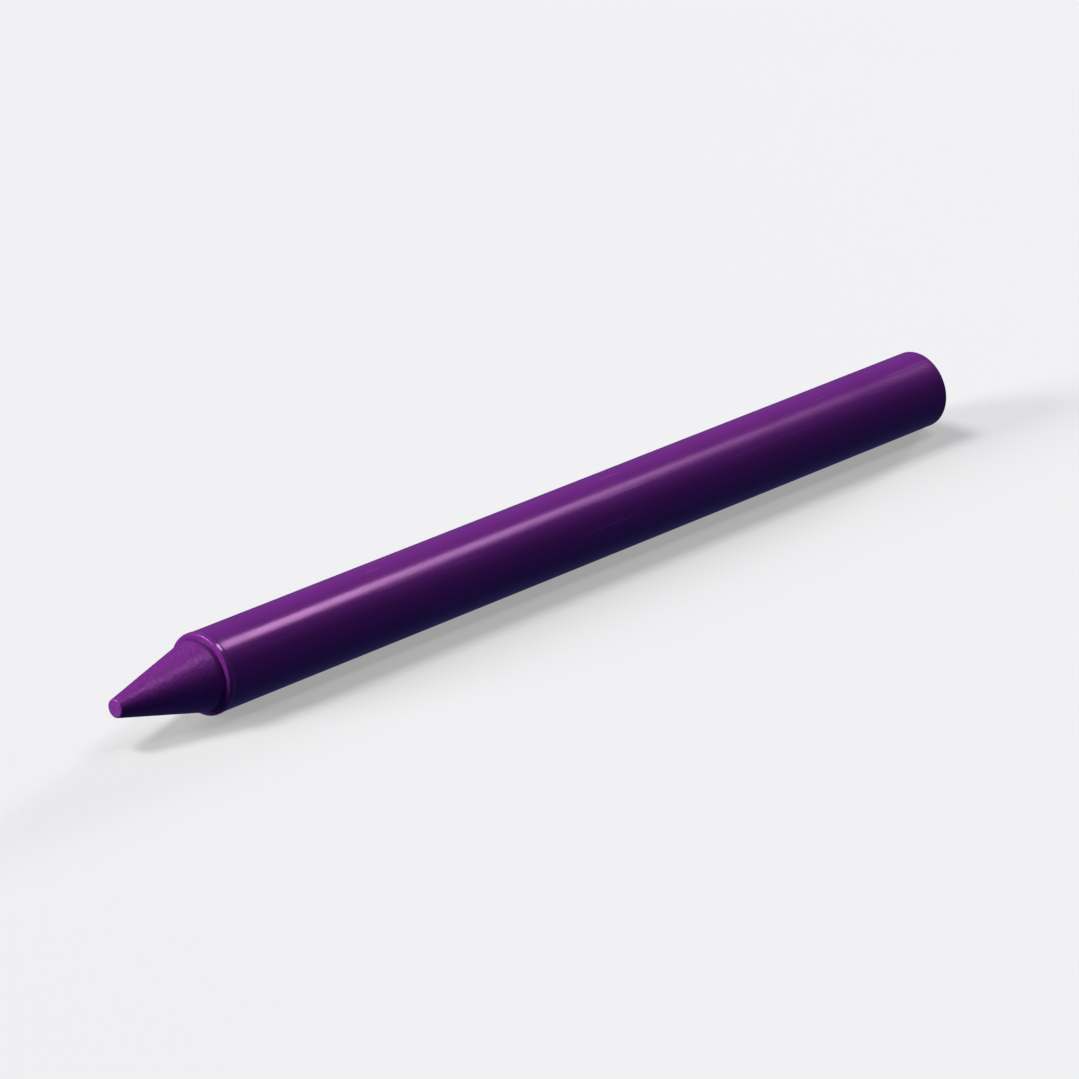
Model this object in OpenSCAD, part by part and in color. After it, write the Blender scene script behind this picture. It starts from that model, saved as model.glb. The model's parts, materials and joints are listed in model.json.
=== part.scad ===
// Slim solid plastic crayon: one moulding with a conical nose, a small bead and a long round barrel.
// It lies on its side along X with the nose at -X. Millimetres, +Z up.
// The origin is on the surface it lies on, below the middle of its length.

/* [Overall] */
// Overall length, from the nose flat to the tail face
overall_length = 120; // [90:1:150]
// Diameter of the straight barrel
barrel_diameter = 8.5; // [8:0.1:10]

/* [Nose cone] */
// Diameter of the nose, measured where its flat and the cone would meet in a sharp corner
nose_diameter = 1.9; // [1.2:0.1:3]
// Radius that rounds the edge of the nose flat
nose_edge_radius = 0.2; // [0.05:0.05:0.3]
// Length of the cone, from the nose flat to the crease
cone_length = 11.3; // [8:0.1:16]
// Height of the step from the cone's base up to the barrel's surface
step_height = 0.45; // [0.3:0.05:0.6]

/* [Bead] */
// Width of the half-round crease between the cone and the bead
crease_width = 0.15; // [0.1:0.05:0.5]
// Radius of the bead's rounded front edge
bead_edge_radius = 0.35; // [0.2:0.05:0.45]
// Length of the bead's level crest
bead_land = 0.3; // [0:0.05:0.5]
// How far the bead stands above the barrel
bead_rise = 0.05; // [0:0.01:0.15]
// Depth of the shallow neck just behind the bead
neck_depth = 0.01; // [0:0.01:0.15]
// Length of the neck, from the bead's crest to the straight barrel
neck_length = 0.5; // [0.3:0.1:2]

/* [Tail] */
// Radius that rounds the edge of the tail face
tail_edge_radius = 0.3; // [0.1:0.05:0.8]
// Diameter of the shallow dished recess around the moulding gate
gate_recess_diameter = 2.6; // [2:0.1:4]
// Depth of that recess
gate_recess_depth = 0.25; // [0.2:0.05:0.5]
// Diameter of the trimmed gate stub in the recess
gate_stub_diameter = 0.9; // [0.5:0.1:1.5]
// Height of the gate stub, which stays below the tail face
gate_stub_height = 0.15; // [0.05:0.05:0.15]

/* [Hidden] */

// Sides of every turned surface
turned_sides = 96;
// Steps along each rounded edge, and along each half of the neck
edge_steps = 6;
neck_steps = 4;

barrel_radius = barrel_diameter / 2;
nose_radius = nose_diameter / 2;
cone_base_radius = barrel_radius - step_height;
crest_radius = barrel_radius + bead_rise;
neck_radius = barrel_radius - neck_depth;

// Half angle of the cone, and the distance from the sharp nose corner to where its rounding starts
cone_half_angle = atan((cone_base_radius - nose_radius) / cone_length);
nose_tangent = nose_edge_radius / tan((90 + cone_half_angle) / 2);

// Stations along the axis, from the nose
bead_front = cone_length + crease_width;
bead_crest = bead_front + bead_edge_radius;
neck_start = bead_crest + bead_land;
neck_bottom = neck_start + neck_length / 2;
barrel_start = neck_start + neck_length;
recess_floor = overall_length - gate_recess_depth;

// Points on an arc around [x, y], from one angle to another
function arc(x, y, r, from, to, steps) =
    [for (i = [0 : steps]) let (a = from + (to - from) * i / steps) [x + r * cos(a), y + r * sin(a)]];

// Points that ease from radius r0 at station y0 to radius r1 at station y1, both ends left out
function ease(r0, y0, r1, y1, steps) =
    [for (i = [1 : steps - 1]) let (t = i / steps)
        [r0 + (r1 - r0) * (1 - cos(180 * t)) / 2, y0 + (y1 - y0) * t]];

// The half section, as [radius, station] from the middle of the nose flat round to the middle of the tail
nose_profile = concat(
    [[0, 0]],
    arc(nose_radius - nose_tangent, nose_edge_radius, nose_edge_radius, -90, -cone_half_angle, edge_steps));

bead_profile = concat(
    arc(cone_base_radius, cone_length + crease_width / 2, crease_width / 2, 270, 90, edge_steps),
    arc(crest_radius - bead_edge_radius, bead_crest, bead_edge_radius, -90, 0, edge_steps),
    bead_land > 0 ? [[crest_radius, neck_start]] : [],
    ease(crest_radius, neck_start, neck_radius, neck_bottom, neck_steps),
    [[neck_radius, neck_bottom]],
    ease(neck_radius, neck_bottom, barrel_radius, barrel_start, neck_steps),
    [[barrel_radius, barrel_start]]);

tail_profile = concat(
    arc(barrel_radius - tail_edge_radius, overall_length - tail_edge_radius, tail_edge_radius, 0, 90, edge_steps),
    [[gate_recess_diameter / 2, overall_length],
     [gate_recess_diameter / 2 - gate_recess_depth, recess_floor],
     [gate_stub_diameter / 2, recess_floor],
     [gate_stub_diameter / 2, recess_floor + gate_stub_height],
     [0, recess_floor + gate_stub_height]]);

// The whole crayon, a single solid moulding
module crayon_stick() {
    color([0.42, 0.12, 0.48])
        translate([-overall_length / 2, 0, crest_radius])
            rotate([0, 90, 0])
                rotate_extrude($fn = turned_sides)
                    polygon(concat(nose_profile, bead_profile, tail_profile));
}

crayon_stick();
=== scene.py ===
"""Looks for a slim solid plastic crayon: one turned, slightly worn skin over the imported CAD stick.

Metres, in the part's own frame: X along the crayon with the nose at -X, +Z up.
"""

import json
import math

import bmesh
import bpy
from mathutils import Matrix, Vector, noise


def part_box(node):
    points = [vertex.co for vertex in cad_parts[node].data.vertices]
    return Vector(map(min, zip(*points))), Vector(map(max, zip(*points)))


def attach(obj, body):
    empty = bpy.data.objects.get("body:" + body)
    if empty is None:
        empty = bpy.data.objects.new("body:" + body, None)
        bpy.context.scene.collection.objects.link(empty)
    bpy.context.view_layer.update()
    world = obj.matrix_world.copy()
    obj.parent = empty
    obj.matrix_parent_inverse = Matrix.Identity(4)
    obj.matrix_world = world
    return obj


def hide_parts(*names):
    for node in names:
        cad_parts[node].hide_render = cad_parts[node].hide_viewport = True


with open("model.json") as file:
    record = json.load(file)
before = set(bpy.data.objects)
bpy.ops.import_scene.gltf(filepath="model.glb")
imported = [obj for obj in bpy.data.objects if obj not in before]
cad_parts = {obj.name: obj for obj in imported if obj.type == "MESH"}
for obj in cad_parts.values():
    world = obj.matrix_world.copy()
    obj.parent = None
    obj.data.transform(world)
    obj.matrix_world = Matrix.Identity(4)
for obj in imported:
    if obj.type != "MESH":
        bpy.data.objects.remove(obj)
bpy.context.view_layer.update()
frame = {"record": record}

MM = 0.001

# Colours, linear. They and the lights were set together, to match the photo
BARREL_DARK = (0.102, 0.012, 0.132, 1)
BARREL_LIGHT = (0.124, 0.015, 0.158, 1)
CONE_COLOUR = (0.109, 0.012, 0.139, 1)
# Lighter colour for the scuff marks, and for the painted highlight on the bead's crest and the painted light
# on the nose flat
WEAR_AND_HIGHLIGHT_COLOUR = (0.3, 0.12, 0.38, 1)
REFLECTION_TINT = (1, 0.35, 0.95, 1)
FLOOR_COLOUR = (0.33, 0.33, 0.33, 1)
FLOOR_GLOW_COLOUR = (1, 0.985, 0.95, 1)
FILL_COLOUR = (0.04, 0.055, 0.14, 1)

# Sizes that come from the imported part
low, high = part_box("crayon_stick")
mounts = {mount["name"]: mount for mount in frame["record"]["mounts"]}
LENGTH = high.x - low.x
NOSE_X = low.x
BARREL_RADIUS = mounts["barrel"]["dims"]["r_mm"] * MM
AXIS_HEIGHT = mounts["barrel"]["pos_m"][2]
# The crayon lies on its bead, so the bead's crest is as far out as the axis is high
CREST_RADIUS = AXIS_HEIGHT

# The part's own smaller sizes, as in its CAD source
NOSE_RADIUS = 0.95 * MM
NOSE_EDGE_RADIUS = 0.2 * MM
CONE_LENGTH = 11.3 * MM
CONE_BASE_RADIUS = BARREL_RADIUS - 0.45 * MM
CREASE_WIDTH = 0.15 * MM
BEAD_EDGE_RADIUS = 0.35 * MM
BEAD_LAND = 0.3 * MM
NECK_RADIUS = BARREL_RADIUS - 0.01 * MM
NECK_LENGTH = 0.5 * MM
TAIL_EDGE_RADIUS = 0.3 * MM
GATE_RECESS_RADIUS = 1.3 * MM
GATE_RECESS_DEPTH = 0.25 * MM
GATE_STUB_RADIUS = 0.45 * MM
GATE_STUB_HEIGHT = 0.15 * MM

# Fillets that soften the gate mark's own corners
GATE_EDGE_RADIUS = 0.06 * MM

# Stations along the axis, from the nose flat
BEAD_CREST = CONE_LENGTH + CREASE_WIDTH + BEAD_EDGE_RADIUS
NECK_START = BEAD_CREST + BEAD_LAND
BARREL_START = NECK_START + NECK_LENGTH

# Slow waves of the barrel and grain of the cone, and the runs over which they fade out at their ends
WAVE_DEPTH = 0.006 * MM
WAVE_LENGTH = 16 * MM
WAVE_FADE = 2 * MM
CONE_GRAIN_DEPTH = 0.004 * MM
CONE_GRAIN_SIZE = 0.9 * MM
CONE_GRAIN_FADE = 1 * MM

# Sizes of the marks in the material
BLOTCH_SIZE = 9 * MM
SPECK_SIZE = 0.35 * MM
SCUFF_WIDTH = 0.5 * MM
SCUFF_STRETCH = 30
SPECK_DEPTH = 0.045 * MM
# How much of the specks' depth shows on the barrel
BARREL_SPECKS = 0.1

# Gloss, as roughness
BARREL_ROUGHNESS = (0.21, 0.25)
SCUFF_ROUGHNESS = 0.45
CONE_ROUGHNESS = (0.30, 0.42)
CREST_ROUGHNESS = 0.12
PLASTIC_IOR = 1.6

# Mesh density
AROUND = 192
ARC_STEPS = 8
NECK_STEPS = 8
LONGEST_STEP = 0.7 * MM
FACE_STEP = 0.25 * MM

# Viewing direction: the way the camera looks, turned from +X towards +Y, and tipped down
VIEW_AZIMUTH = math.radians(43.7)
VIEW_TILT = math.radians(22.4)
VIEW_DISTANCE = 0.689
FIELD_OF_VIEW = math.radians(9.27)

# Studio: the floor runs on past the backdrop's foot
BACKDROP_RADIUS = 5
FLOOR_SIZE = 2.5 * BACKDROP_RADIUS
FLOOR_ROUGHNESS = 0.9
FLOOR_GLOW = 0.35
BACKDROP_GLOW = 0.81


# ---------------------------------------------------------------- outline


def arc(station, radius, size, start, stop):
    """Points on an arc around (station, radius), angles in degrees from the -X direction outwards."""
    points = []
    for i in range(ARC_STEPS + 1):
        angle = math.radians(start + (stop - start) * i / ARC_STEPS)
        points.append(Vector((station - size * math.cos(angle), radius + size * math.sin(angle))))
    return points


def fillet(before, corner, after, size):
    """Points on an arc of radius size that rounds a corner between two straight runs."""
    back = (before - corner).normalized()
    ahead = (after - corner).normalized()
    half = back.angle(ahead) / 2
    centre = corner + (back + ahead).normalized() * size / math.sin(half)
    reach = size / math.tan(half)
    first = (corner + back * reach - centre).normalized()
    last = (corner + ahead * reach - centre).normalized()
    return [centre + first.slerp(last, i / ARC_STEPS) * size for i in range(ARC_STEPS + 1)]


def softened(corners):
    """Joins (station, radius, fillet radius) corners; the two ends and corners with no fillet stay sharp."""
    places = [Vector(corner[:2]) for corner in corners]
    points = [places[0]]
    for i in range(1, len(corners) - 1):
        size = corners[i][2]
        if size:
            points += fillet(places[i - 1], places[i], places[i + 1], size)
        else:
            points.append(places[i])
    points.append(places[-1])
    return points


def eased(start, stop):
    """Points that leave start and reach stop with no slope, start left out."""
    points = []
    for i in range(1, NECK_STEPS + 1):
        t = i / NECK_STEPS
        blend = (1 - math.cos(math.pi * t)) / 2
        points.append(Vector((start.x + (stop.x - start.x) * t, start.y + (stop.y - start.y) * blend)))
    return points


def divided(points):
    """Adds points to the long straight runs, more finely on the flat end faces."""
    finer = [points[0]]
    for before, after in zip(points, points[1:]):
        run = after - before
        flat = abs(run.x) < abs(run.y)
        steps = max(1, math.ceil(run.length / (FACE_STEP if flat else LONGEST_STEP)))
        finer += [before + run * i / steps for i in range(1, steps + 1)]
    return finer


def outline():
    """The half section as (station from the nose flat, radius), from the nose to the tail."""
    neck_start = Vector((NECK_START, CREST_RADIUS))
    neck_bottom = Vector((NECK_START + NECK_LENGTH / 2, NECK_RADIUS))
    barrel_start = Vector((BARREL_START, BARREL_RADIUS))
    recess_floor = LENGTH - GATE_RECESS_DEPTH
    stub_top = recess_floor + GATE_STUB_HEIGHT

    nose = softened([(0, 0, 0), (0, NOSE_RADIUS, NOSE_EDGE_RADIUS), (CONE_LENGTH, CONE_BASE_RADIUS, 0)])
    crease = arc(CONE_LENGTH + CREASE_WIDTH / 2, CONE_BASE_RADIUS, CREASE_WIDTH / 2, 0, -180)
    bead = arc(BEAD_CREST, CREST_RADIUS - BEAD_EDGE_RADIUS, BEAD_EDGE_RADIUS, 0, 90)
    neck = [neck_start] + eased(neck_start, neck_bottom) + eased(neck_bottom, barrel_start)
    tail = softened(
        [
            (*barrel_start, 0),
            (LENGTH, BARREL_RADIUS, TAIL_EDGE_RADIUS),
            (LENGTH, GATE_RECESS_RADIUS, GATE_EDGE_RADIUS),
            (recess_floor, GATE_RECESS_RADIUS - GATE_RECESS_DEPTH, GATE_EDGE_RADIUS),
            (recess_floor, GATE_STUB_RADIUS, GATE_EDGE_RADIUS),
            (stub_top, GATE_STUB_RADIUS, GATE_EDGE_RADIUS),
            (stub_top, 0, 0),
        ]
    )
    return divided(nose[:-1] + crease + bead + neck + tail[1:])


# ---------------------------------------------------------------- mesh


def relief(station, around):
    """How far the skin stands in or out at a place: slow waves on the barrel, fine grain on the cone."""
    place = Vector((station, BARREL_RADIUS * around.x, BARREL_RADIUS * around.y))
    if station > CONE_LENGTH:
        end = min(station - BARREL_START, LENGTH - station) / WAVE_FADE
        return WAVE_DEPTH * noise.noise(place / WAVE_LENGTH) * max(0, min(1, end))
    end = min(station, CONE_LENGTH - station) / CONE_GRAIN_FADE
    return CONE_GRAIN_DEPTH * noise.noise(place / CONE_GRAIN_SIZE) * max(0, min(1, end))


def crayon_mesh():
    """The turned skin: one ring of vertices for each outline point, closed by a fan at each end."""
    mesh = bmesh.new()
    points = outline()
    rings = []
    for point in points[1:-1]:
        ring = []
        for i in range(AROUND):
            angle = 2 * math.pi * i / AROUND
            around = Vector((math.cos(angle), math.sin(angle)))
            radius = point.y + relief(point.x, around)
            place = (NOSE_X + point.x, radius * around.x, AXIS_HEIGHT + radius * around.y)
            ring.append(mesh.verts.new(place))
        rings.append(ring)
    for ring, following in zip(rings, rings[1:]):
        for i in range(AROUND):
            j = (i + 1) % AROUND
            mesh.faces.new((ring[i], following[i], following[j], ring[j]))
    for ring, point in ((rings[0], points[0]), (rings[-1], points[-1])):
        middle = mesh.verts.new((NOSE_X + point.x, 0, AXIS_HEIGHT))
        for i in range(AROUND):
            mesh.faces.new((middle, ring[i], ring[(i + 1) % AROUND]))
    bmesh.ops.recalc_face_normals(mesh, faces=mesh.faces)
    return mesh


def make_crayon():
    mesh = crayon_mesh()
    data = bpy.data.meshes.new("crayon")
    mesh.to_mesh(data)
    mesh.free()
    for polygon in data.polygons:
        polygon.use_smooth = True
    crayon = bpy.data.objects.new("crayon", data)
    bpy.context.scene.collection.objects.link(crayon)
    crayon.data.materials.append(crayon_plastic())
    return crayon


# ---------------------------------------------------------------- materials


def add_node(tree, kind, sockets, **settings):
    """A node with its inputs, by name or number, set to a value or linked to another node's output."""
    node = tree.nodes.new(kind)
    for name, value in settings.items():
        setattr(node, name, value)
    for key, value in sockets.items():
        if isinstance(value, bpy.types.NodeSocket):
            tree.links.new(value, node.inputs[key])
        else:
            node.inputs[key].default_value = value
    return node


def math_node(tree, operation, *values):
    return add_node(tree, "ShaderNodeMath", dict(enumerate(values)), operation=operation).outputs[0]


def ramp(tree, value, low_end, high_end, low_value=0.0, high_value=1.0):
    """Maps low_end..high_end smoothly to low_value..high_value and holds the end values past them."""
    sockets = {
        "Value": value,
        "From Min": low_end,
        "From Max": high_end,
        "To Min": low_value,
        "To Max": high_value,
    }
    return add_node(tree, "ShaderNodeMapRange", sockets, interpolation_type="SMOOTHSTEP").outputs["Result"]


def grain(tree, place, size, detail=2.0, stretch=1.0):
    """Soft noise with features of a size in metres, stretched that many times along X."""
    scaled = add_node(tree, "ShaderNodeVectorMath", {0: place, 1: (1 / stretch, 1, 1)}, operation="MULTIPLY")
    sockets = {"Vector": scaled.outputs[0], "Scale": 1 / size, "Detail": detail, "Roughness": 0.55}
    return add_node(tree, "ShaderNodeTexNoise", sockets).outputs["Fac"]


def mixed_value(tree, amount, low_value, high_value):
    sockets = {0: amount, 2: low_value, 3: high_value}
    return add_node(tree, "ShaderNodeMix", sockets, data_type="FLOAT").outputs[0]


def mixed_colour(tree, amount, low_colour, high_colour):
    sockets = {0: amount, 6: low_colour, 7: high_colour}
    return add_node(tree, "ShaderNodeMix", sockets, data_type="RGBA").outputs[2]


def crest_zone(tree, along):
    """1 on the bead's level crest and 0 elsewhere."""
    middle = NOSE_X + (BEAD_CREST + NECK_START) / 2
    off_crest = math_node(tree, "ABSOLUTE", math_node(tree, "SUBTRACT", along, middle))
    return ramp(tree, off_crest, BEAD_LAND * 0.7, BEAD_LAND * 0.5)


def crayon_plastic():
    """Glossy purple barrel, satin cone with a fine grain, a few scuffs, and a painted highlight on the
    bead's crest and painted light on the nose flat.
    """
    material = bpy.data.materials.new("crayon_plastic")
    material.use_nodes = True
    tree = material.node_tree
    shader = tree.nodes["Principled BSDF"]
    place = add_node(tree, "ShaderNodeTexCoord", {}).outputs["Object"]
    along = add_node(tree, "ShaderNodeSeparateXYZ", {0: place}).outputs["X"]

    blotches = grain(tree, place, BLOTCH_SIZE, detail=4)
    specks = grain(tree, place, SPECK_SIZE, detail=3)
    scuffs = ramp(tree, grain(tree, place, SCUFF_WIDTH, stretch=SCUFF_STRETCH), 0.62, 0.75)
    bead_crest = NOSE_X + BEAD_CREST
    cone = ramp(tree, along, bead_crest - 0.02 * MM, bead_crest - 0.2 * MM)
    crest = crest_zone(tree, along)

    pigment = mixed_colour(tree, blotches, BARREL_DARK, BARREL_LIGHT)
    pigment = mixed_colour(tree, math_node(tree, "MULTIPLY", cone, 0.8), pigment, CONE_COLOUR)
    pigment = mixed_colour(tree, math_node(tree, "MULTIPLY", scuffs, 0.12), pigment, WEAR_AND_HIGHLIGHT_COLOUR)
    # Painted highlight on the bead's level crest and painted light on the nose flat: both are mixed a little
    # towards the lighter colour, unevenly with the specks
    painted_light = math_node(tree, "MAXIMUM", crest, ramp(tree, along, NOSE_X + NOSE_EDGE_RADIUS, NOSE_X))
    painted_light = math_node(tree, "MULTIPLY", painted_light, ramp(tree, specks, 0.3, 0.7, 0.04, 0.16))
    pigment = mixed_colour(tree, painted_light, pigment, WEAR_AND_HIGHLIGHT_COLOUR)

    roughness = ramp(tree, blotches, 0.3, 0.7, *BARREL_ROUGHNESS)
    roughness = mixed_value(tree, math_node(tree, "MULTIPLY", scuffs, 0.3), roughness, SCUFF_ROUGHNESS)
    roughness = mixed_value(tree, cone, roughness, ramp(tree, specks, 0.35, 0.65, *CONE_ROUGHNESS))
    roughness = mixed_value(tree, crest, roughness, CREST_ROUGHNESS)

    height = math_node(tree, "MULTIPLY", specks, mixed_value(tree, cone, BARREL_SPECKS, 1.0))
    bump = add_node(tree, "ShaderNodeBump", {"Strength": 1.0, "Distance": SPECK_DEPTH, "Height": height})

    tree.links.new(pigment, shader.inputs["Base Color"])
    tree.links.new(roughness, shader.inputs["Roughness"])
    tree.links.new(bump.outputs[0], shader.inputs["Normal"])
    shader.inputs["IOR"].default_value = PLASTIC_IOR
    shader.inputs["Specular Tint"].default_value = REFLECTION_TINT
    return material


def glowing_matt(name, colour, roughness, glow_colour, glow):
    """A surface with no reflections and a light of its own, for the floor and the backdrop."""
    material = bpy.data.materials.new(name)
    material.use_nodes = True
    sockets = material.node_tree.nodes["Principled BSDF"].inputs
    sockets["Base Color"].default_value = colour
    sockets["Roughness"].default_value = roughness
    sockets["Specular IOR Level"].default_value = 0
    sockets["Emission Color"].default_value = glow_colour
    sockets["Emission Strength"].default_value = glow
    return material


# ---------------------------------------------------------------- stage, light and camera


def set_stage(piece, name, material):
    """Names a studio piece and gives it its material; it neither lights the crayon nor shows in it."""
    piece.name = name
    piece.data.materials.append(material)
    piece.visible_diffuse = False
    piece.visible_glossy = False


def make_floor():
    """Pale paper with a glow of its own, which keeps the shadows on it soft."""
    bpy.ops.mesh.primitive_plane_add(size=FLOOR_SIZE, location=(0, 0, 0))
    paper = glowing_matt("floor_paper", FLOOR_COLOUR, FLOOR_ROUGHNESS, FLOOR_GLOW_COLOUR, FLOOR_GLOW)
    set_stage(bpy.context.object, "floor", paper)


def make_backdrop():
    """A dome that glows the pale grey of the lit floor, seen past it, and casts no shadow."""
    bpy.ops.mesh.primitive_uv_sphere_add(radius=BACKDROP_RADIUS, location=(0, 0, 0))
    backdrop = bpy.context.object
    cloth = glowing_matt("backdrop_cloth", (0, 0, 0, 1), 0.5, (1, 1, 1, 1), BACKDROP_GLOW)
    backdrop.visible_shadow = False
    set_stage(backdrop, "backdrop", cloth)


def place_light(name, data, position, towards):
    """Puts a light at a position, shining back along the direction towards it."""
    light = bpy.data.objects.new(name, data)
    light.location = position
    light.rotation_euler = towards.to_track_quat("Z", "Y").to_euler()
    light.visible_camera = False
    bpy.context.scene.collection.objects.link(light)
    return light


def wide_light(name, direction, strength, spread, reflected):
    """A far softbox as wide as its spread in degrees; one that isn't reflected only lights the colours."""
    data = bpy.data.lights.new(name, "SUN")
    data.energy = strength
    data.angle = math.radians(spread)
    towards = Vector(direction).normalized()
    place_light(name, data, towards, towards).visible_glossy = reflected


def strip_light(name, direction, distance, width, depth, power, aim):
    """A near softbox whose reflection is seen: width runs across the crayon, depth along it."""
    data = bpy.data.lights.new(name, "AREA")
    data.shape = "RECTANGLE"
    data.size = width
    data.size_y = depth
    data.energy = power
    towards = Vector(direction).normalized()
    return place_light(name, data, Vector(aim) + towards * distance, towards)


def make_lights():
    """Lights that match the photo's main view: some only light the colours, and two are only reflected."""
    wide_light("main", (-0.3, 0.42, 0.85), 2.8, 20, reflected=True)
    wide_light("front", (-0.89, 0.36, 0.285), 4.65, 22, reflected=False)
    wide_light("back", (0.95, 0.25, 0.2), 2.4, 8, reflected=False)
    strip_light("strip", (0.6, -0.12, 0.79), 1.2, 0.36, 0.18, 2.2, (NOSE_X + 0.038, 0, AXIS_HEIGHT))
    strip_light("cone_light", (0.27, -0.22, 0.94), 1.0, 0.1, 0.1, 1.0, (NOSE_X, 0, AXIS_HEIGHT))
    # Only reflected, and seen so when the camera looks from the tail's side
    for name, direction in (("left_rim", (-0.5, -0.5, 0.7)), ("right_rim", (-0.5, 0.5, 0.7))):
        strip_light(name, direction, 1.0, 0.3, 0.3, 1.2, (0, 0, AXIS_HEIGHT)).visible_diffuse = False


def make_fill():
    """Dim blue light from all round, which the shaded side picks up."""
    world = bpy.data.worlds.new("studio")
    world.use_nodes = True
    world.node_tree.nodes["Background"].inputs["Color"].default_value = FILL_COLOUR
    bpy.context.scene.world = world


def make_camera():
    data = bpy.data.cameras.new("camera")
    data.angle = FIELD_OF_VIEW
    data.clip_start = 0.01
    data.dof.use_dof = False
    camera = bpy.data.objects.new("camera", data)
    looking = Vector(
        (
            math.cos(VIEW_AZIMUTH) * math.cos(VIEW_TILT),
            math.sin(VIEW_AZIMUTH) * math.cos(VIEW_TILT),
            -math.sin(VIEW_TILT),
        )
    )
    middle = Vector(((low.x + high.x) / 2, 0, AXIS_HEIGHT))
    camera.location = middle - looking * VIEW_DISTANCE
    camera.rotation_euler = looking.to_track_quat("-Z", "Y").to_euler()
    bpy.context.scene.collection.objects.link(camera)
    bpy.context.scene.camera = camera


crayon = make_crayon()
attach(crayon, "root")
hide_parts("crayon_stick")
make_floor()
make_backdrop()
make_lights()
make_fill()
make_camera()
bpy.context.scene.view_settings.view_transform = "Standard"
